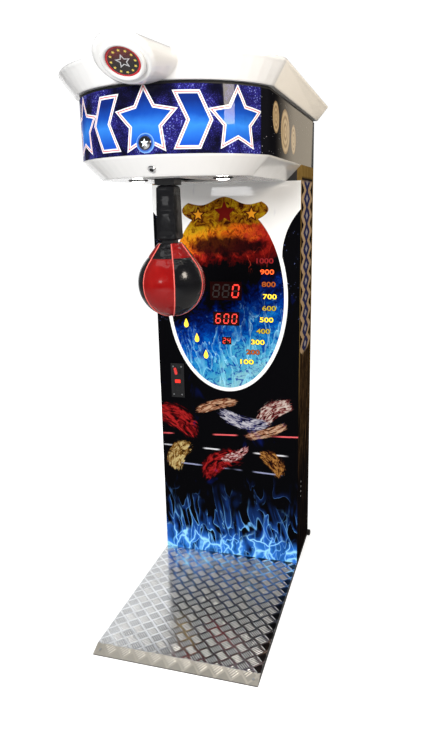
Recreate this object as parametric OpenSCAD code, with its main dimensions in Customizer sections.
// Boxing arcade machine: a tread-plate platform, a tall column with a lit scoreboard, and a
// head that overhangs the platform and carries a punch ball on a swinging arm.
// Millimetres. X is to the right, Y is backwards, Z is up. The origin is on the floor, in the
// plane of the column's front face and on the centre line.

/* [Overall] */
// Width of the column, platform and head
machine_w = 680; // [640:5:760]
// Depth of the column
column_d = 350; // [320:5:450]
// Length of the platform in front of the column
platform_l = 800; // [700:10:1000]
// Height of the underside of the head
underside_z = 1838; // [1780:2:1900]
// Reach of the head in front of the column
head_front = 872; // [840:4:960]

/* [Floor board] */
// Thickness of the floor board
board_t = 21; // [18:1:30]
// Thickness of the tread plate
tread_t = 3; // [2:0.5:5]
// Length of the sloping lip at the platform's front
lip_l = 45; // [30:5:80]
// Height of the lip's front edge above the floor
lip_edge_h = 6; // [4:1:10]
// Head diameter of the two lip screws
lip_screw_d = 12; // [8:1:16]
// Radius of the transport wheels
wheel_r = 16; // [12:1:24]
// Width of the transport wheels
wheel_w = 15; // [10:1:20]
// Height of the wheels above the floor while the machine stands
wheel_lift = 1; // [1:0.5:3]
// Radius of the wheel axles
axle_r = 3; // [2.5:0.5:3.5]

/* [Column] */
// Thickness of the side, front and back boards
panel_t = 18; // [12:1:22]
// Thickness of the printed front sheet
fascia_t = 4; // [3:0.5:6]
// Outer width of the steel frame tubes
tube_w = 30; // [25:1:35]
// Wall of the steel frame tubes
tube_wall = 3; // [2:0.5:4]

/* [Scoreboard] */
// Width of the large display
display_w = 150; // [130:2:170]
// Height of the large display
display_h = 84; // [70:2:96]
// Height of the large display's centre
display_z = 1363; // [1345:1:1380]
// Width of the record display
record_w = 126; // [110:2:140]
// Height of the record display
record_h = 64; // [54:2:74]
// Height of the record display's centre
record_z = 1235; // [1225:1:1245]
// Width of the credit display
credit_w = 46; // [40:1:60]
// Height of the credit display
credit_h = 36; // [30:1:44]
// Height of the credit display's centre
credit_z = 1131; // [1115:1:1150]
// Depth of the display housings
display_d = 24; // [18:1:34]

/* [Coin unit] */
// Width of the coin plate
coin_w = 66; // [60:1:76]
// Height of the coin plate
coin_h = 169; // [160:1:190]
// Distance of the coin plate's centre to the left of the middle
coin_x = 249; // [240:1:260]
// Height of the coin plate's centre
coin_z = 925; // [880:5:960]
// Thickness of the coin plate
coin_t = 3; // [2:0.5:5]
// Travel of the coin reject button
reject_travel = 4; // [2:0.5:5]
// Height of the coin return flap
flap_h = 38; // [30:1:42]
// Width of the coin return flap
flap_w = 31; // [26:1:33]

/* [Service door] */
// Width of the service door
door_w = 520; // [400:10:540]
// Height of the service door
door_h = 760; // [600:10:900]
// Height of the door's lower edge
door_z = 250; // [200:10:300]
// Gap around the door
door_gap = 2; // [1.5:0.5:4]
// Radius of the hinge pin
hinge_pin_r = 4; // [3:0.5:5]

/* [Head] */
// Height of the chamfer under the printed band
chamfer_h = 64; // [50:2:80]
// Height of the printed band
band_h = 201; // [180:1:230]
// Thickness of the printed band and the moulded shells
skin_t = 4; // [3:0.5:6]
// How much larger the bowed front's radius is than half of the machine's width
front_bow = 20; // [10:5:140]
// Radius of the head's front corners
corner_r = 75; // [50:5:100]
// Height of the black gasket between band and roof
gasket_h = 9; // [6:1:14]
// Width of the slot that the arm swings in
slot_w = 120; // [104:2:150]
// Length of the slot
slot_l = 440; // [400:5:480]

/* [Roof] */
// Height of the flared roof wall at the sides
roof_h = 64; // [50:2:80]
// How far the roof wall flares beyond the band
roof_flare = 60; // [40:2:80]
// How far the roof wall stands out at its foot
roof_foot = 12; // [8:1:18]
// Radius of the lamp boss
boss_r = 92; // [84:1:100]
// Outer radius of the emblem ring
ring_r = 66; // [60:1:74]
// Radius of the emblem disc
emblem_r = 52; // [44:1:56]
// How far the emblem faces down, in degrees
emblem_tilt = 51.6; // [46:0.2:56]
// How far the emblem's centre stands in front of the band
emblem_reach = 135; // [125:1:145]

/* [Buttons and lamps] */
// Radius of the start button's bezel
start_r = 30; // [26:0.5:34]
// Height of the start button above the band's lower edge
start_rise = 34; // [32:1:60]
// Travel of the start button
start_travel = 4; // [2:0.5:6]
// Radius of the key lock
lock_r = 14; // [11:0.5:17]
// Radius of the spotlights
spot_r = 36; // [30:1:42]
// Distance of the spotlights from the middle
spot_x = 160; // [140:5:190]
// Distance of the spotlights in front of the column
spot_y = 570; // [500:5:600]

/* [Swing] */
// Distance of the swing's shaft behind the front of the head
swing_back = 182; // [162:2:192]
// Height of the swing shaft above the underside
shaft_rise = 102; // [98:1:112]
// Radius of the swing shaft
shaft_r = 12.5; // [10:0.5:15]
// Running clearance of the shafts and pins
run_gap = 0.05; // [0.03:0.01:0.1]
// Width of the arm's square tube
arm_w = 40; // [30:1:44]
// Radius of the ball
ball_r = 119; // [105:1:125]
// Height of the ball's centre below the underside
ball_drop = 354; // [340:2:380]
// Height of the ball's open top above its centre
ball_top = 138; // [130:1:150]
// Length of the padded sleeve
sleeve_l = 183; // [160:1:200]
// Width of the padded sleeve at its lower end
sleeve_w = 76; // [66:1:84]

/* [Hidden] */

// Smoothness of rounds, of blended rounds and of fine rounds
fine = 64;
blend = 32;
small = 24;
// Gap beside pieces that move or slip in, and the overshoot of a cut that goes right through
fit_gap = 0.3;
cut = 1;

half_w = machine_w / 2;
front_r = half_w + front_bow;
deck_z = board_t + tread_t;
band_z = underside_z + chamfer_h;
band_top = band_z + band_h;
roof_z = band_top + gasket_h;
rim_z = roof_z + roof_h;
inner_x = half_w - panel_t;
board_back = fascia_t + panel_t;
back_y = column_d - panel_t;
shaft_z = underside_z + shaft_rise;
swing_y = head_front - swing_back;
ball_z = underside_z - ball_drop;

function arc(cx, cy, r, a0, a1, n) =
    [for (i = [0 : n]) let (a = a0 + (a1 - a0) * i / n) [cx + r * cos(a), cy + r * sin(a)]];
// Plan of the head: straight sides, rounded corners and a bowed front, grown by off.
// back is the plan's rear edge, reach the front's distance, bow its radius, turn the corners'.
function head_plan(off, back, reach, bow, turn, n = 6) =
    let (h = half_w + off, cy = bow - reach, fx = h - turn,
         fy = cy - sqrt(pow(bow - turn, 2) - pow(fx, 2)), a = atan2(fy - cy, fx),
         step = (-180 - 2 * a) / (4 * n))
    concat([[h, back]], arc(fx, fy, turn, 0, a, n), arc(0, cy, bow, a + step, -180 - a - step, 4 * n - 2),
           arc(-fx, fy, turn, -180 - a, -180, n), [[-h, back]]);
function band_plan(off, back) =
    head_plan(off, back, head_front + off, front_r + off, corner_r + off);
// A plan outline lifted to height z, rising by slope towards the front
function level(plan, z, slope = 0) = [for (p = plan) [p[0], p[1], z - slope * p[1]]];

// Closed solid through a list of outlines, each clockwise from above with the same number of points
module loft(rings) {
    n = len(rings[0]);
    m = len(rings);
    sides = [for (k = [0 : m - 2]) for (i = [0 : n - 1]) let (j = (i + 1) % n)
        each [[k * n + i, (k + 1) * n + j, (k + 1) * n + i], [k * n + i, k * n + j, (k + 1) * n + j]]];
    lower_face = [for (i = [0 : n - 1]) n - 1 - i];
    upper_face = [for (i = [0 : n - 1]) (m - 1) * n + i];
    polyhedron([for (ring = rings) each ring], concat([lower_face], sides, [upper_face]), convexity = 6);
}
module box(x0, x1, y0, y1, z0, z1) translate([x0, y0, z0]) cube([x1 - x0, y1 - y0, z1 - z0]);
module cyl_x(x0, x1, y, z, r, fn = fine)
    translate([x0, y, z]) rotate([0, 90, 0]) cylinder(r = r, h = x1 - x0, $fn = fn);
module cyl_y(x, y0, y1, z, r, fn = fine)
    translate([x, y0, z]) rotate([-90, 0, 0]) cylinder(r = r, h = y1 - y0, $fn = fn);
module cyl_z(x, y, z0, z1, r, fn = fine)
    translate([x, y, z0]) cylinder(r = r, h = z1 - z0, $fn = fn);
module mirrored() {
    children();
    mirror([1, 0, 0]) children();
}
// Square tube between two corners, open along axis 0, 1 or 2
module tube(axis, x0, x1, y0, y1, z0, z1) {
    g = [for (k = [0 : 2]) k == axis ? -cut : tube_wall];
    difference() {
        box(x0, x1, y0, y1, z0, z1);
        box(x0 + g[0], x1 - g[0], y0 + g[1], y1 - g[1], z0 + g[2], z1 - g[2]);
    }
}

// Floor board, tread plate and transport wheels

nose_y = -platform_l - lip_l;
lip_angle = atan2(deck_z - lip_edge_h, lip_l);
lip_shank_r = 2.5;
lip_shank_l = 12;
lip_screw_x = half_w - 22;
lip_screw_along = 26;
lip_head_h = 3;
module at_lip_screw() mirrored() translate([lip_screw_x, -platform_l, deck_z]) rotate([lip_angle, 0, 0])
    translate([0, -lip_screw_along, 0]) children();
module lip_screw_holes() at_lip_screw()
    translate([0, 0, -lip_shank_l]) cylinder(r = lip_shank_r, h = 2 * lip_shank_l, $fn = small);

wheel_y = column_d - wheel_r - 2;
wheel_z = wheel_r + wheel_lift;
wheel_gap = 0.5;
wheel_edge = 2;
axle_l = 60;
axle_cap_r = 6;
axle_cap_l = 2;
module floor_board() color("#17181a") difference() {
    translate([-half_w, 0, 0]) rotate([90, 0, 90]) linear_extrude(machine_w)
        polygon([[column_d, 0], [column_d, board_t], [-platform_l, board_t],
                 [nose_y, lip_edge_h - tread_t], [nose_y, 0]]);
    mirrored() cyl_x(half_w - axle_l, half_w + cut, wheel_y, wheel_z, axle_r);
    lip_screw_holes();
}
module tread_plate() color("#c9cdd2") difference() {
    translate([-half_w, 0, 0]) rotate([90, 0, 90]) linear_extrude(machine_w)
        polygon([[0, board_t], [0, deck_z], [-platform_l, deck_z],
                 [nose_y, lip_edge_h], [nose_y, lip_edge_h - tread_t], [-platform_l, board_t]]);
    lip_screw_holes();
}
module lip_screws() color("#e3e6e8") at_lip_screw() {
    translate([0, 0, -lip_shank_l]) cylinder(r = lip_shank_r, h = lip_shank_l, $fn = small);
    difference() {
        cylinder(r1 = lip_screw_d / 2, r2 = lip_screw_d / 3, h = lip_head_h, $fn = small);
        translate([0, 0, lip_head_h - cut]) cylinder(r = lip_shank_r, h = 2 * cut, $fn = 6);
    }
}
module wheel_axles() color("#9aa0a6") mirrored() difference() {
    end_x = half_w + wheel_gap + wheel_w + wheel_gap;
    union() {
        cyl_x(half_w - axle_l, end_x, wheel_y, wheel_z, axle_r);
        cyl_x(end_x, end_x + axle_cap_l, wheel_y, wheel_z, axle_cap_r);
    }
    cyl_x(end_x + axle_cap_l / 2, end_x + 2 * axle_cap_l, wheel_y, wheel_z, axle_r - 0.5, 6);
}
module wheel() difference() {
    x0 = half_w + wheel_gap;
    union() {
        cyl_x(x0, x0 + wheel_w, wheel_y, wheel_z, wheel_r - wheel_edge);
        cyl_x(x0 + wheel_edge, x0 + wheel_w - wheel_edge, wheel_y, wheel_z, wheel_r);
    }
    cyl_x(x0 - cut, x0 + wheel_w + cut, wheel_y, wheel_z, axle_r + run_gap);
}
module wheel_left() color("#2a2b2d") mirror([1, 0, 0]) wheel();
module wheel_right() color("#2a2b2d") wheel();

// Column: side boards, front board and printed front sheet

// Width, height and middle height of each display
display_list = [[display_w, display_h, display_z], [record_w, record_h, record_z],
                [credit_w, credit_h, credit_z]];
display_gap = 2;
display_flange = 8;
module display_blocks(grow, y0, y1) for (d = display_list)
    box(-d[0] / 2 - grow, d[0] / 2 + grow, y0, y1, d[2] - d[1] / 2 - grow, d[2] + d[1] / 2 + grow);
coin_hole_x = 18.2;
coin_hole_low = 65.5;
coin_hole_high = 66;
module coin_hole(grow, y1) box(-coin_x - coin_hole_x - grow, -coin_x + coin_hole_x + grow, -cut, y1,
    coin_z - coin_hole_low - grow, coin_z + coin_hole_high + grow);

module side_board() box(inner_x, half_w, fascia_t, column_d, board_t, band_z);
module side_left() color("#6a4a22") mirror([1, 0, 0]) side_board();
module side_right() color("#6a4a22") side_board();
rail_x = slot_w / 2 + 24;
rail_w = 40;
rail_gap = 6;
module front_board() color("#26231f") difference() {
    box(-inner_x, inner_x, fascia_t, board_back, board_t, band_z);
    display_blocks(display_gap, fascia_t - cut, board_back + cut);
    coin_hole(cut, board_back + cut);
    box(-rail_x - rail_w - rail_gap, rail_x + rail_w + rail_gap, fascia_t - cut, board_back + cut,
        underside_z + skin_t, band_z + cut);
}
module fascia() color("#f4f5f6") difference() {
    box(-half_w, half_w, 0, fascia_t, board_t, underside_z);
    display_blocks(fit_gap, -cut, fascia_t + cut);
    coin_hole(0, fascia_t + cut);
}

// Column: back panel, shelf, service door, vents, inlet and switch

door_x = door_w / 2;
vent_w = 260;
vent_h = 120;
vent_z = 1300;
vent_rim = 12;
vent_slots = 9;
vent_slot_h = 6;
inlet_x = 235;
inlet_z = 120;
inlet_w = 50;
inlet_h = 74;
inlet_flange = 4;
inlet_depth = 40;
inlet_face_t = 3;
module back_panel() color("#22201e") difference() {
    box(-inner_x, inner_x, back_y, column_d, board_t, band_z);
    box(-door_x - door_gap, door_x + door_gap, back_y - cut, column_d + cut,
        door_z - door_gap, door_z + door_h + door_gap);
    box(-vent_w / 2, vent_w / 2, back_y - cut, column_d + cut, vent_z, vent_z + vent_h);
    box(inlet_x - inlet_w / 2 + inlet_flange, inlet_x + inlet_w / 2 - inlet_flange, back_y - cut, column_d + cut,
        inlet_z - inlet_h / 2 + inlet_flange, inlet_z + inlet_h / 2 - inlet_flange);
}

post_x = inner_x - tube_w;
rear_post_y = back_y - tube_w;
shelf_z = door_z - panel_t;
module shelf() color("#7d6543") difference() {
    box(-inner_x, inner_x, board_back, back_y, shelf_z, door_z);
    mirrored() for (y = [board_back, rear_post_y])
        box(post_x - cut, inner_x + cut, y - cut, y + tube_w + cut, shelf_z - cut, door_z + cut);
}

lock_hole_r = 9.5;
lock_face_w = 4;
lock_face_t = 3;
door_plug_r = 6;
door_lock_x = door_x - 30;
door_lock_z = door_z + door_h / 2;
cam_y = back_y - 12;
cam_t = 3;
cam_l = 52;
cam_w = 14;
module service_door() color("#2b2826") difference() {
    box(-door_x, door_x, back_y, column_d, door_z, door_z + door_h);
    cyl_y(door_lock_x, back_y - cut, column_d + cut, door_lock_z, lock_hole_r);
}

knuckle_r = 7;
hinge_x = -door_x - door_gap / 2;
hinge_y = column_d + knuckle_r + 0.5;
leaf_w = 28;
leaf_t = 2;
leaf_clear = 5;
hinge_h = 90;
hinge_inset = 70;
hinge_hole_r = 2.2;
// The fixed leaf has the outer two knuckles and the door's leaf the middle one
knuckle_split = 0.33;
hinge_list = [door_z + hinge_inset, door_z + door_h - hinge_inset - hinge_h];
module knuckle(z, k0, k1) {
    cyl_z(hinge_x, hinge_y, z + hinge_h * k0, z + hinge_h * k1, knuckle_r);
    box(hinge_x - knuckle_r, hinge_x - leaf_clear, column_d, hinge_y, z + hinge_h * k0, z + hinge_h * k1);
}
module leaf(z) difference() {
    box(hinge_x - knuckle_r - leaf_w, hinge_x - leaf_clear, column_d, column_d + leaf_t, z, z + hinge_h);
    for (k = [0.25, 0.75])
        cyl_y(hinge_x - knuckle_r - leaf_w / 2, column_d - cut, column_d + leaf_t + cut,
              z + hinge_h * k, hinge_hole_r, small);
}
module door_hinge_fixed() color("#8f9498") for (z = hinge_list) {
    leaf(z);
    knuckle(z, 0, knuckle_split);
    knuckle(z, 1 - knuckle_split, 1);
    cyl_z(hinge_x, hinge_y, z - cut, z + hinge_h + cut, hinge_pin_r);
}
module door_hinge_leaf() color("#8f9498") for (z = hinge_list) difference() {
    translate([2 * hinge_x, 0, 0]) mirror([1, 0, 0]) union() {
        leaf(z);
        knuckle(z, knuckle_split + 0.01, 0.99 - knuckle_split);
    }
    cyl_z(hinge_x, hinge_y, z - cut, z + hinge_h + cut, hinge_pin_r + run_gap);
}
module door_lock_ring() color("#c3c7cb") difference() {
    union() {
        cyl_y(door_lock_x, column_d, column_d + lock_face_t, door_lock_z, lock_hole_r + lock_face_w);
        cyl_y(door_lock_x, back_y - 8, column_d, door_lock_z, lock_hole_r);
    }
    cyl_y(door_lock_x, cam_y, column_d + lock_face_t + cut, door_lock_z, door_plug_r + run_gap);
}
module door_lock_cam() color("#aeb3b8") difference() {
    union() {
        cyl_y(door_lock_x, cam_y, column_d + lock_face_t - 0.5, door_lock_z, door_plug_r);
        box(door_lock_x - cam_w / 2, door_lock_x + cam_w / 2, cam_y, cam_y + cam_t,
            door_lock_z - cam_w / 2, door_lock_z + cam_l);
    }
    box(door_lock_x - key_w / 2, door_lock_x + key_w / 2, column_d - 6, column_d + 2 * lock_face_t,
        door_lock_z - key_h / 2, door_lock_z + key_h / 2);
}
key_w = 1.8;
key_h = 7;

module vent_grille() color("#3b3d40") difference() {
    pitch = vent_h / vent_slots;
    box(-vent_w / 2 - vent_rim, vent_w / 2 + vent_rim, column_d, column_d + leaf_t,
        vent_z - vent_rim, vent_z + vent_h + vent_rim);
    for (i = [0 : vent_slots - 1]) let (z = vent_z + (i + 0.5) * pitch)
        box(-vent_w / 2 + vent_rim, vent_w / 2 - vent_rim, column_d - cut, column_d + leaf_t + cut,
            z - vent_slot_h / 2, z + vent_slot_h / 2);
    mirrored() for (z = [vent_z - vent_rim / 2, vent_z + vent_h + vent_rim / 2])
        cyl_y(vent_w / 2 + vent_rim / 2, column_d - cut, column_d + leaf_t + cut, z, hinge_hole_r, small);
}

rocker_z = inlet_z + 18;
rocker_y = column_d - 4;
rocker_tilt = 9;
rocker_pin_r = 1.6;
rocker_w = 22.8;
rocker_h = 18;
rocker_out = 8;
socket_w = 28;
socket_h = 22;
module inlet() color("#151617") difference() {
    union() {
        box(inlet_x - inlet_w / 2, inlet_x + inlet_w / 2, column_d, column_d + inlet_face_t,
            inlet_z - inlet_h / 2, inlet_z + inlet_h / 2);
        box(inlet_x - inlet_w / 2 + inlet_flange + cut, inlet_x + inlet_w / 2 - inlet_flange - cut,
            column_d - inlet_depth, column_d,
            inlet_z - inlet_h / 2 + inlet_flange + cut, inlet_z + inlet_h / 2 - inlet_flange - cut);
    }
    box(inlet_x - socket_w / 2, inlet_x + socket_w / 2, column_d - 18, column_d + 2 * inlet_face_t,
        inlet_z - 4 - socket_h, inlet_z - 4);
    box(inlet_x - 12, inlet_x + 12, column_d - 14, column_d + 2 * inlet_face_t, rocker_z - 11, rocker_z + 11);
    cyl_x(inlet_x - 14, inlet_x + 14, rocker_y, rocker_z, rocker_pin_r + run_gap, small);
}
module power_rocker() color("#101113") translate([inlet_x, rocker_y, rocker_z]) {
    rotate([rocker_tilt, 0, 0])
        box(-rocker_w / 2, rocker_w / 2, -rocker_out / 2, rocker_out, -rocker_h / 2, rocker_h / 2);
    cyl_x(-13.6, 13.6, 0, 0, rocker_pin_r, small);
}

// Steel frame of the column and of the head

sill_z = underside_z + 8;
frame_top = band_top - 8;
module column_frame() color("#4c5157") {
    mirrored() for (y = [board_back, rear_post_y])
        tube(2, post_x, post_x + tube_w, y, y + tube_w, board_t, frame_top);
    for (y = [board_back, rear_post_y], z = [sill_z, frame_top - tube_w])
        tube(0, -post_x, post_x, y, y + tube_w, z, z + tube_w);
    mirrored() for (z = [sill_z, frame_top - tube_w])
        tube(1, post_x, post_x + tube_w, board_back + tube_w, rear_post_y, z, z + tube_w);
}

rail_h = 28;
rail_z = sill_z + tube_w;
rail_top = rail_z + rail_h;
upper_top = frame_top - tube_w;
upper_z = upper_top - rail_h;
rail_end = back_y;
rail_front = head_front - 75;
strut_l = 40;
cross_l = rail_h;
front_strut_y = -swing_y - 107;
rear_cross_y = -swing_y + 430;
foot_r = 9;
stop_margin = 1.5;
beam_front = -swing_y + 22;
beam_back = beam_front + rail_h;
// Half thickness and height of the tail above the shaft, and the place of the stops along it
tail_t = 5;
tail_h = 84;
stop_at = 60;
stop_pad_l = 14;
module at_swing(a) translate([0, -swing_y, shaft_z]) rotate([a, 0, 0]) children();
module head_frame() color("#565c62") {
    for (z = [rail_z, upper_z]) {
        mirrored() box(rail_x, rail_x + rail_w, -rail_front, rail_end, z, z + rail_h);
        for (y = [-rail_front, rear_cross_y])
            box(-rail_x, rail_x, y, y + cross_l, z, z + rail_h);
    }
    mirrored() for (y = [front_strut_y, rear_cross_y])
        box(rail_x, rail_x + rail_w, y, y + strut_l, rail_top, upper_z);
    mirrored() for (y = [front_strut_y + strut_l, rear_cross_y])
        cyl_z(rail_x + rail_w / 2, y, underside_z + skin_t, rail_z, foot_r);
    // Beam that carries the latch, with the hanger of the rear stop
    box(-rail_x, rail_x, beam_front, beam_back, upper_z, upper_top);
    box(-foot_r, foot_r, beam_front + 6, beam_front + 16, shaft_z + stop_at - foot_r, upper_z);
    // Front stop, square to the tail at the end of the swing
    at_swing(swing_max + stop_margin)
        box(-rail_x, rail_x, -tail_t - cut - stop_pad_l - 24, -tail_t - cut - stop_pad_l,
            stop_at - 15, stop_at + 15);
}

// Head: moulded lower shell, slot, printed band, back cover and gasket

slot_front = swing_y + 66;
slot_corner = 20;
trim_w = 7;
trim_t = 3;
module slot_shape(grow, z0, z1) {
    r = slot_w / 2 + grow;
    c = slot_corner;
    box(-r, r, -slot_front - grow + c, -slot_front + slot_l + grow, z0, z1);
    box(-r + c, r - c, -slot_front - grow, -slot_front - grow + c, z0, z1);
    mirrored() cyl_z(r - c, -slot_front - grow + c, z0, z1, c, blend);
}
lock_rise = 22;
lock_y = head_front - chamfer_h + lock_rise;
lock_seat = 0.6;
lock_body_r = lock_r - 4;
module at_lock() translate([0, -lock_y, underside_z + lock_rise]) rotate([135, 0, 0]) children();
spot_tube_r = spot_r - 9;
module lower_shell() color("#eceeef") difference() {
    side_inset = skin_t * sqrt(2);
    loft([level(band_plan(-chamfer_h, fascia_t), underside_z),
          level(band_plan(0, fascia_t), band_z)]);
    loft([level(band_plan(-chamfer_h + skin_t - side_inset, fascia_t + cut), underside_z + skin_t),
          level(band_plan(cut - side_inset, fascia_t + cut), band_z + cut)]);
    slot_shape(0, underside_z - cut, underside_z + skin_t + cut);
    mirrored() cyl_z(spot_x, -spot_y, underside_z - cut, underside_z + skin_t + cut, spot_tube_r + 0.5);
    at_lock() translate([0, 0, -3 * skin_t]) cylinder(r = lock_body_r, h = 4 * skin_t, $fn = fine);
    at_lock() translate([0, 0, -lock_seat]) cylinder(r = lock_r + fit_gap, h = skin_t, $fn = fine);
}
module slot_trim() color("#f6f7f7") difference() {
    slot_shape(trim_w, underside_z - trim_t, underside_z);
    slot_shape(-cut, underside_z - 2 * trim_t, underside_z + cut);
}

start_z = band_z + start_rise;
start_seat = head_front - 1.5;
start_body_r = 24;
module head_band() color("#1c2f8e") difference() {
    translate([0, 0, band_z]) linear_extrude(band_h) polygon(band_plan(0, column_d));
    translate([0, 0, band_z - cut]) linear_extrude(band_h + 2 * cut)
        polygon(band_plan(-skin_t, column_d + cut));
    cyl_y(0, -head_front - cut, -head_front + 2 * skin_t, start_z, start_body_r + fit_gap);
    cyl_y(0, -head_front - cut, -start_seat, start_z, start_r + fit_gap);
}
module head_back() color("#22201e")
    box(-half_w + skin_t, half_w - skin_t, column_d - skin_t, column_d, band_z, band_top);

gasket_in = 3;
gasket_w = 14;
module gasket() color("#0b0b0c") difference() {
    translate([0, 0, band_top]) linear_extrude(gasket_h)
        polygon(band_plan(-gasket_in, column_d - gasket_in));
    translate([0, 0, band_top - cut]) linear_extrude(gasket_h + 2 * cut)
        polygon(band_plan(-gasket_in - gasket_w, column_d - gasket_in - gasket_w));
}

// Roof: a flared moulded cap with a boss for the round emblem

rim_slope = 0.0125;
roof_back = column_d + 16;
function foot_plan(off) = head_plan(roof_foot + off, roof_back + off, head_front + roof_foot + off,
                                    front_r + roof_foot + off, corner_r + roof_foot + off);
function rim_plan(off) = head_plan(roof_flare + off, roof_back + off, head_front + roof_flare - 4 + off,
                                   front_r + roof_flare + 10 + off, corner_r + 5 + off);
emblem_y = head_front + emblem_reach;
emblem_z = roof_z + 34;
boss_chamfer = 10;
boss_wall = 14;
crown_back = 150;
crown_y = -head_front + crown_back;
crown_r = 100;
module at_emblem() translate([0, -emblem_y, emblem_z]) rotate([90 + emblem_tilt, 0, 0]) children();
module roof_boss() difference() {
    hull() {
        at_emblem() translate([0, 0, -2]) cylinder(r = boss_r - boss_chamfer, h = 2, $fn = blend);
        at_emblem() translate([0, 0, -boss_wall]) cylinder(r = boss_r, h = 6, $fn = blend);
        translate([0, crown_y, rim_z]) scale([1.7, 1, 0.16]) sphere(r = crown_r, $fn = blend);
        translate([0, crown_y - 90, roof_z + 12]) cylinder(r = crown_r, h = 40, $fn = blend);
    }
    box(-half_w, half_w, -head_front - roof_foot, 0, 0, roof_z);
}
module roof_cap() color("#f3f4f5") difference() {
    union() {
        loft([level(foot_plan(0), roof_z), level(rim_plan(-2), rim_z - 6, rim_slope),
              level(rim_plan(0), rim_z - 1, rim_slope), level(rim_plan(-4), rim_z + 4, rim_slope),
              level(rim_plan(-22), rim_z + 8, rim_slope), level(rim_plan(-70), rim_z + 12, rim_slope)]);
        roof_boss();
    }
    translate([0, 0, roof_z - cut]) linear_extrude(skin_t + 2 * cut)
        polygon(band_plan(-gasket_in - gasket_w, column_d - gasket_in - gasket_w));
    loft([level(foot_plan(-skin_t), roof_z + skin_t), level(rim_plan(-2 * skin_t), rim_z - 6, rim_slope)]);
    hull() {
        at_emblem() translate([0, 0, -4 * boss_wall]) cylinder(r = boss_r / 2, h = 3 * boss_wall, $fn = blend);
        translate([0, crown_y, roof_z + 2 * skin_t]) cylinder(r = crown_r / 2, h = 40, $fn = blend);
    }
}
ring_t = 9.5;
disc_t = 4;
module emblem_ring() color("#fafafa") at_emblem() rotate_extrude($fn = fine)
    polygon(concat([[emblem_r, 0], [ring_r, 0]], arc(ring_r - 5, ring_t - 5, 5, 0, 90, 5),
                   [[emblem_r + 3, ring_t], [emblem_r, ring_t - 3]]));
module emblem_disc() color("#241014") at_emblem()
    cylinder(r = emblem_r - fit_gap, h = disc_t, $fn = fine);

// Start button, key lock and spotlights

start_step = 7;
start_ring_t = 5;
start_wall = 3.2;
start_cap_r = start_body_r - start_wall - fit_gap;
module start_bezel() color("#2a6fd6") translate([0, -start_seat, start_z]) rotate([90, 0, 0])
    rotate_extrude($fn = fine)
        polygon([[start_body_r - start_wall, -30], [start_body_r, -30], [start_body_r, 0], [start_r, 0],
                 [start_r, start_ring_t / 2], [start_r - 3, start_ring_t],
                 [start_body_r - start_wall, start_ring_t]]);
module start_button() color("#12151c") translate([0, -start_seat, start_z]) rotate([90, 0, 0])
    rotate_extrude($fn = fine)
        polygon([[0, -24], [start_cap_r, -24], [start_cap_r, start_ring_t + start_travel - 1],
                 [start_cap_r - 2, start_ring_t + start_travel + 1], [0, start_ring_t + start_travel + 2]]);

lock_plug_r = lock_r - 7;
lock_body_l = 20;
module key_lock_barrel() color("#cfd3d6") at_lock() difference() {
    union() {
        translate([0, 0, -lock_seat]) cylinder(r1 = lock_r, r2 = lock_r - 2, h = skin_t, $fn = fine);
        translate([0, 0, -lock_body_l]) cylinder(r = lock_body_r, h = lock_body_l, $fn = fine);
    }
    translate([0, 0, -lock_body_l - cut]) cylinder(r = lock_plug_r + run_gap, h = 2 * lock_body_l, $fn = fine);
}
module key_lock_plug() color("#0d0e10") at_lock() difference() {
    translate([0, 0, -lock_body_l - 2]) cylinder(r = lock_plug_r, h = lock_body_l + 2 + skin_t / 2, $fn = fine);
    translate([-key_w / 2, -key_h / 2, -skin_t]) cube([key_w, key_h, 3 * skin_t]);
}

spot_lip = 4;
spot_wall = 1.5;
spot_seat = 2;
spot_sleeve_h = 22;
lens_h = 12;
lens_dome = 5;
module spot_rings() color("#1d1e20") mirrored() translate([spot_x, -spot_y, underside_z])
    rotate_extrude($fn = fine)
        polygon([[spot_tube_r - spot_lip, -2 * spot_seat], [spot_r - 3, -2 * spot_seat], [spot_r, -spot_wall],
                 [spot_r, 0], [spot_tube_r, 0], [spot_tube_r, spot_sleeve_h],
                 [spot_tube_r - spot_wall, spot_sleeve_h], [spot_tube_r - spot_wall, -spot_seat],
                 [spot_tube_r - spot_lip, -spot_seat]]);
module spot_lenses() color("#ffffff") mirrored() translate([spot_x, -spot_y, underside_z - spot_seat])
    rotate_extrude($fn = fine) {
        seat_r = spot_tube_r - spot_wall - fit_gap;
        face_r = spot_tube_r - spot_lip - fit_gap;
        polygon(concat([[0, lens_h], [seat_r, lens_h], [seat_r, 0], [face_r, 0]],
                       [for (a = [0 : 15 : 90]) [face_r * cos(a), -spot_seat - lens_dome * sin(a)]]));
    }

// Swing: bearings, shaft, arm, padded sleeve and ball

bearing_x = rail_x + rail_w / 2;
bearing_w = 26;
bearing_r = 34;
bearing_foot = 44;
bearing_foot_t = 12;
bearing_bolt_r = 5.5;
module bearings() color("#6d7a4a") mirrored() difference() {
    x0 = bearing_x - bearing_w / 2;
    x1 = bearing_x + bearing_w / 2;
    union() {
        box(x0, x1, -swing_y - bearing_foot, -swing_y + bearing_foot, rail_top, rail_top + bearing_foot_t);
        cyl_x(x0, x1, -swing_y, shaft_z, bearing_r);
    }
    cyl_x(x0 - cut, x1 + cut, -swing_y, shaft_z, shaft_r + run_gap);
    box(x0 - cut, x1 + cut, -swing_y - bearing_r, -swing_y + bearing_r, rail_top - bearing_r, rail_top);
    for (s = [-1, 1]) cyl_z(bearing_x, -swing_y + s * (bearing_foot - 7), rail_top - cut,
                            rail_top + bearing_foot_t + cut, bearing_bolt_r / 2, small);
}

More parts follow.
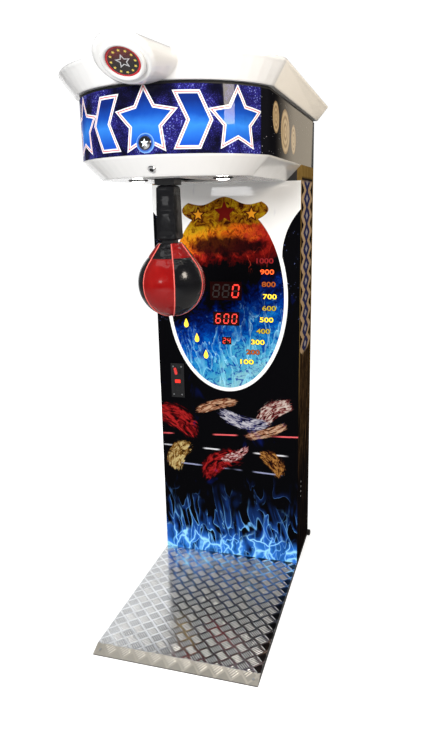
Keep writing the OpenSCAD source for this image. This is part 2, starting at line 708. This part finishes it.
hub_w = 120;
hub_r = 24;
collar_z = underside_z - 23;
collar_w = 70;
collar_d = 72;
sleeve_z = collar_z - sleeve_l;
arm_wall = 3;
disc_x = bearing_x + bearing_w / 2 + 12;
disc_r = 48;
disc_wall = 2;
disc_hub_l = 8;
module swing_shaft() color("#b9bec3")
    cyl_x(-disc_x - disc_wall - disc_hub_l, disc_x + disc_wall + disc_hub_l, -swing_y, shaft_z, shaft_r);
module swing_arm() color("#3c4045") difference() {
    a = arm_w / 2;
    union() {
        cyl_x(-hub_w / 2, hub_w / 2, -swing_y, shaft_z, hub_r);
        box(-a, a, -swing_y - a, -swing_y + a, sleeve_z, shaft_z);
        box(-a, a, -swing_y - tail_t, -swing_y + tail_t, shaft_z, shaft_z + tail_h);
    }
    box(-a + arm_wall, a - arm_wall, -swing_y - a + arm_wall, -swing_y + a - arm_wall,
        sleeve_z + arm_wall, shaft_z - hub_r - arm_wall);
    cyl_x(-hub_w, hub_w, -swing_y, shaft_z, shaft_r);
}
module arm_collar() color("#111214") difference() {
    a = arm_w / 2;
    box(-collar_w / 2, collar_w / 2, -swing_y - collar_d / 2, -swing_y + collar_d / 2, collar_z,
        shaft_z - hub_r - 12);
    box(-a, a, -swing_y - a, -swing_y + a, collar_z - cut, shaft_z);
}
pad_r = 12;
module padded_layer(w, d, z) translate([0, -swing_y, z]) linear_extrude(2)
    offset(r = pad_r, $fn = blend) square([w - 2 * pad_r, d - 2 * pad_r], center = true);
module arm_sleeve() color("#1b1c1e") difference() {
    a = arm_w / 2;
    hull() {
        padded_layer(sleeve_w - 16, sleeve_w - 10, collar_z - 2);
        padded_layer(sleeve_w - 9, sleeve_w - 3, collar_z - 8);
        padded_layer(sleeve_w, sleeve_w + 8, sleeve_z + 8);
        padded_layer(sleeve_w - 8, sleeve_w, sleeve_z);
    }
    box(-a, a, -swing_y - a, -swing_y + a, sleeve_z - cut, collar_z + cut);
}
link_w = 44;
link_z = ball_z + ball_top - 46;
link_rod_r = 8;
link_rod_z = 30;
module ball_link() color("#0e0f10") {
    b = link_w / 2;
    box(-b, b, -swing_y - b, -swing_y + b, link_z, sleeve_z);
    cyl_z(0, -swing_y, ball_z + link_rod_z, link_z, link_rod_r);
}
mouth_r = 44;
mouth_wall = 8;
module punch_ball() color("#b4191c") translate([0, -swing_y, ball_z]) rotate_extrude($fn = 72) {
    // The cone below the mouth meets the round body where it is tangent to it
    a = atan2(ball_top, mouth_r) - acos(ball_r / norm([mouth_r, ball_top]));
    floor_h = link_z - ball_z;
    polygon(concat([[0, link_rod_z]], arc(0, 0, ball_r, -90, a, 26),
                   [[mouth_r, ball_top - 3], [mouth_r - 3, ball_top], [mouth_r - mouth_wall, ball_top],
                    [mouth_r - mouth_wall, floor_h], [link_rod_r, floor_h], [link_rod_r, link_rod_z]]));
}

// Swing: encoder, stops and latch

disc_slots = 24;
module encoder_disc() color("#c9ccd0") difference() {
    union() {
        cyl_x(disc_x, disc_x + disc_wall, -swing_y, shaft_z, disc_r);
        cyl_x(disc_x, disc_x + disc_wall + disc_hub_l, -swing_y, shaft_z, shaft_r + 7);
    }
    cyl_x(disc_x - cut, disc_x + disc_wall + disc_hub_l + cut, -swing_y, shaft_z, shaft_r);
    for (i = [0 : disc_slots - 1]) at_swing(i * 360 / disc_slots)
        box(disc_x - cut, disc_x + disc_wall + cut, -2, 2, disc_r - 11, disc_r - 3);
}
sensor_w = 18;
sensor_h = 16;
sensor_gap = 5;
sensor_y = -swing_y + disc_r - 13;
sensor_leg = 12;
module encoder_sensor() color("#1a1b1c") {
    x = disc_x + disc_wall / 2;
    difference() {
        box(x - sensor_w / 2, x + sensor_w / 2, sensor_y, sensor_y + 18 + sensor_leg,
            shaft_z - sensor_h / 2, shaft_z + sensor_h / 2);
        box(x - sensor_gap / 2, x + sensor_gap / 2, sensor_y - cut, sensor_y + 18,
            shaft_z - sensor_h, shaft_z + sensor_h);
    }
    box(x - sensor_w / 2, x + sensor_w / 2, sensor_y + 18, sensor_y + 18 + sensor_leg, rail_top, shaft_z);
}
swing_max = 58;
stop_pad_r = 10;
rear_pad_l = 14;
module stop_buffers() color("#202124") {
    at_swing(swing_max + stop_margin)
        cyl_y(0, -tail_t - cut - stop_pad_l, -tail_t - cut, stop_at, stop_pad_r);
    cyl_y(0, beam_front + 6 - rear_pad_l, beam_front + 6, shaft_z + stop_at, stop_pad_r - 2);
}

pawl_y = -swing_y - 12;
pawl_z = shaft_z + 122;
pawl_t = 10;
pawl_l = 90;
pawl_drop = 25;
pawl_lean = 15;
pawl_pin_r = 5;
pawl_hub_r = 11;
link_pin_at = 22;
link_pin_r = 2.5;
fork_t = 3.5;
fork_gap = 0.5;
fork_x = pawl_t / 2 + fork_gap + fork_t;
link_pin_y = pawl_y + link_pin_at * sin(pawl_lean);
link_pin_z = pawl_z + link_pin_at;
module latch_pawl() color("#8d9399") translate([0, pawl_y, pawl_z]) difference() {
    t = pawl_t / 2;
    union() {
        cyl_x(-t, t, 0, 0, pawl_hub_r);
        rotate([pawl_drop, 0, 0]) box(-t, t, -pawl_l, 0, -t, t);
        rotate([-pawl_lean, 0, 0]) box(-t, t, -t, t, 0, link_pin_at + 2);
        rotate([-pawl_lean, 0, 0]) cyl_x(-fork_x, fork_x, 0, link_pin_at, link_pin_r);
    }
    cyl_x(-fork_x - cut, fork_x + cut, 0, 0, pawl_pin_r + run_gap);
}
solenoid_w = 36;
solenoid_l = 60;
plunger_r = 5;
module latch_bracket() color("#5e6469") {
    mirrored() box(fork_x - fork_t, fork_x, pawl_y - 14, beam_front, pawl_z - 14, pawl_z + 12);
    cyl_x(-fork_x - 2, fork_x + 2, pawl_y, pawl_z, pawl_pin_r);
    difference() {
        box(-solenoid_w / 2, solenoid_w / 2, beam_front, beam_front + solenoid_l, upper_top,
            upper_top + solenoid_w);
        cyl_y(0, beam_front - cut, beam_front + solenoid_l - 6, link_pin_z - 0.4, plunger_r + run_gap);
    }
}
module latch_plunger() color("#b4b8bc") {
    z0 = link_pin_z - 7;
    z1 = link_pin_z + 7;
    slot = link_pin_r + fit_gap;
    fork_back = link_pin_y + 8;
    cyl_y(0, fork_back, beam_front + solenoid_l - 10, link_pin_z - 0.4, plunger_r);
    box(-fork_x, fork_x, fork_back, fork_back + 6, z0, z1);
    mirrored() difference() {
        box(fork_x - fork_t, fork_x, link_pin_y - 8, fork_back, z0, z1);
        box(0, fork_x + cut, link_pin_y - slot, link_pin_y + slot, z0 - cut, link_pin_z + slot + 0.5);
    }
}

// Scoreboard displays

digit_lay = 0.6;
display_face = 1.6;
module displays() color("#1a0507") {
    display_blocks(0, display_face, board_back);
    display_blocks(display_flange, board_back, display_d + display_flange);
}
module digit_bar(l, w) rotate([90, 0, 0]) linear_extrude(digit_lay)
    polygon([[-l / 2, 0], [(w - l) / 2, w / 2], [(l - w) / 2, w / 2], [l / 2, 0],
             [(l - w) / 2, -w / 2], [(w - l) / 2, -w / 2]]);
module digit(wide, high, thick) {
    reach = (high - thick) / 2;
    for (z = [-reach, 0, reach]) translate([0, 0, z]) digit_bar(wide - thick * 1.2, thick);
    for (x = [-1, 1], z = [-1, 1]) translate([x * (wide - thick) / 2, 0, z * reach / 2])
        rotate([0, 90, 0]) digit_bar(reach - thick * 0.2, thick);
}
module display_segments() color("#e8261c") for (d = display_list) {
    digits = d[0] < display_w / 2 ? 2 : 3;
    pitch = d[0] * 0.92 / digits;
    high = d[1] * 0.74;
    for (i = [0 : digits - 1]) translate([(i - (digits - 1) / 2) * pitch, display_face, d[2]])
        digit(min(high * 0.56, pitch * 0.8), high, high * 0.11);
}

// Coin unit and cash box

coin_screw_x = 20.5;
coin_screw_z = 69.5;
coin_screw_r = 1.9;
reject_x = -coin_x - 8;
reject_z = coin_z + 47;
reject_r = 7;
reject_l = 22;
reject_lean = -12;
entry_x = -coin_x + 11;
entry_w = 9;
entry_h = 30;
coin_slot_w = 2.6;
flap_x = -coin_x;
flap_z = coin_z - 62;
flap_t = 2;
flap_pin_r = 1.5;
flap_pivot_y = -0.4;
flap_pivot_z = flap_z + flap_h - 3;
cup_d = 32;
cup_wall = 2;
window_w = 28;
window_h = 17;
coin_window_z = coin_z - 4;
module reject_shape(r, y0, y1) translate([reject_x, 0, reject_z]) rotate([0, reject_lean, 0]) {
    for (s = [-1, 1]) cyl_y(0, y0, y1, s * reject_l / 2, r);
    box(-r, r, y0, y1, -reject_l / 2, reject_l / 2);
}
module coin_plate() color("#131416") difference() {
    f = flap_w / 2;
    union() {
        box(-coin_x - coin_w / 2, -coin_x + coin_w / 2, -coin_t, 0, coin_z - coin_h / 2, coin_z + coin_h / 2);
        box(entry_x - entry_w / 2, entry_x + entry_w / 2, -coin_t - 4, 0,
            reject_z - entry_h / 2, reject_z + entry_h / 2);
        box(flap_x - f - cup_wall, flap_x + f + cup_wall, 0, cup_d + cup_wall,
            flap_z - cup_wall, flap_z + flap_h + cup_wall);
    }
    reject_shape(reject_r + fit_gap, -coin_t - cut, cut);
    box(entry_x - coin_slot_w / 2, entry_x + coin_slot_w / 2, -2 * coin_t - cut, cut,
        reject_z - entry_h / 2 + 3, reject_z + entry_h / 2 - 3);
    box(flap_x - f, flap_x + f, -coin_t - cut, cup_d, flap_z, flap_z + flap_h);
    cyl_x(flap_x - f - cup_wall * 0.8, flap_x + f + cup_wall * 0.8, flap_pivot_y, flap_pivot_z,
          flap_pin_r + run_gap, small);
    for (x = [-1, 1], z = [-1, 1])
        cyl_y(-coin_x + x * coin_screw_x, -coin_t - cut, cut, coin_z + z * coin_screw_z, coin_screw_r, small);
    box(-coin_x - window_w / 2, -coin_x + window_w / 2, -coin_t - cut, -coin_t / 2,
        coin_window_z - window_h / 2, coin_window_z + window_h / 2);
}
module coin_screws() color("#d7dadd") for (x = [-1, 1], z = [-1, 1])
    translate([-coin_x + x * coin_screw_x, -coin_t, coin_z + z * coin_screw_z]) rotate([90, 0, 0]) {
        cylinder(r1 = 2 * coin_screw_r, r2 = 1.5 * coin_screw_r, h = 2, $fn = small);
        translate([0, 0, -coin_t]) cylinder(r = coin_screw_r, h = coin_t, $fn = small);
    }
module coin_reject() color("#d8201c") {
    reject_shape(reject_r, -coin_t - reject_travel - 0.5, 8);
    reject_shape(reject_r - 3, 8, 14);
}
module coin_flap() color("#1d1f21") {
    f = flap_w / 2 - 0.5;
    box(flap_x - f, flap_x + f, flap_pivot_y - flap_t, flap_pivot_y, flap_z + 0.5, flap_pivot_z);
    cyl_x(flap_x - f - 0.5 - cup_wall * 0.7, flap_x + f + 0.5 + cup_wall * 0.7, flap_pivot_y, flap_pivot_z,
          flap_pin_r, small);
}
mech_w = 52;
mech_d = 60;
mech_z = flap_z + flap_h + 6;
chute_w = 16;
chute_y = board_back + 24;
chute_d = 26;
chute_wall = 1.5;
cash_x0 = -door_x + 2;
cash_w = 170;
cash_d = 150;
cash_h = 120;
cash_y = 40;
cash_wall = 1.5;
module coin_mech() color("#2c2f33") difference() {
    box(-coin_x - mech_w / 2, -coin_x + mech_w / 2, board_back, board_back + mech_d,
        mech_z, coin_z + coin_h / 2 - 6);
    box(entry_x - coin_slot_w / 2 - 0.5, entry_x + coin_slot_w / 2 + 0.5, board_back - cut,
        chute_y + chute_d - chute_wall, mech_z - cut, reject_z + entry_h / 2);
}
module coin_chute() color("#9ba1a6") difference() {
    x0 = entry_x - chute_w / 2;
    w = chute_wall;
    box(x0, x0 + chute_w, chute_y, chute_y + chute_d, door_z + cash_h + 4, mech_z);
    box(x0 + w, x0 + chute_w - w, chute_y + w, chute_y + chute_d - w, door_z + cash_h, mech_z + cut);
}
module cash_box() color("#7c8288") difference() {
    box(cash_x0, cash_x0 + cash_w, cash_y, cash_y + cash_d, door_z, door_z + cash_h);
    box(cash_x0 + cash_wall, cash_x0 + cash_w - cash_wall, cash_y + cash_wall, cash_y + cash_d - cash_wall,
        door_z + cash_wall, door_z + cash_h + cut);
}

// Electronics

pcb_y = 100;
pcb_z = 1120;
pcb_d = 160;
pcb_h = 220;
pcb_t = 1.6;
spacer_l = 10;
spacer_r = 3.5;
module control_board() color("#1f6b35") {
    x = inner_x - spacer_l;
    box(x - pcb_t, x, pcb_y, pcb_y + pcb_d, pcb_z, pcb_z + pcb_h);
    for (y = [10, pcb_d - 10], z = [10, pcb_h - 10])
        cyl_x(x, inner_x, pcb_y + y, pcb_z + z, spacer_r, small);
    for (chip = [[50, 90, 90, 130, 4], [10, 30, 20, 190, 12], [115, 150, 30, 70, 8]])
        box(x - pcb_t - chip[4], x - pcb_t, pcb_y + chip[0], pcb_y + chip[1], pcb_z + chip[2], pcb_z + chip[3]);
}
supply_x = 60;
supply_w = 215;
supply_y = 60;
supply_d = 115;
supply_h = 50;
supply_slots = 10;
module power_supply() color("#a7adb3") difference() {
    pitch = supply_w / (supply_slots + 1);
    box(supply_x, supply_x + supply_w, supply_y, supply_y + supply_d, board_t, board_t + supply_h);
    for (i = [1 : supply_slots]) let (x = supply_x + i * pitch)
        box(x - 4, x + 4, supply_y + 20, supply_y + supply_d - 20, board_t + supply_h - 1.5,
            board_t + supply_h + cut);
}

floor_board();
tread_plate();
lip_screws();
wheel_axles();
wheel_left();
wheel_right();
side_left();
side_right();
front_board();
fascia();
back_panel();
shelf();
service_door();
door_hinge_fixed();
door_hinge_leaf();
door_lock_ring();
door_lock_cam();
vent_grille();
inlet();
power_rocker();
column_frame();
head_frame();
lower_shell();
slot_trim();
head_band();
head_back();
gasket();
roof_cap();
emblem_ring();
emblem_disc();
start_bezel();
start_button();
key_lock_barrel();
key_lock_plug();
spot_rings();
spot_lenses();
bearings();
swing_shaft();
swing_arm();
arm_collar();
arm_sleeve();
ball_link();
punch_ball();
encoder_disc();
encoder_sensor();
stop_buffers();
latch_pawl();
latch_bracket();
latch_plunger();
displays();
display_segments();
coin_plate();
coin_screws();
coin_reject();
coin_flap();
coin_mech();
coin_chute();
cash_box();
control_board();
power_supply();
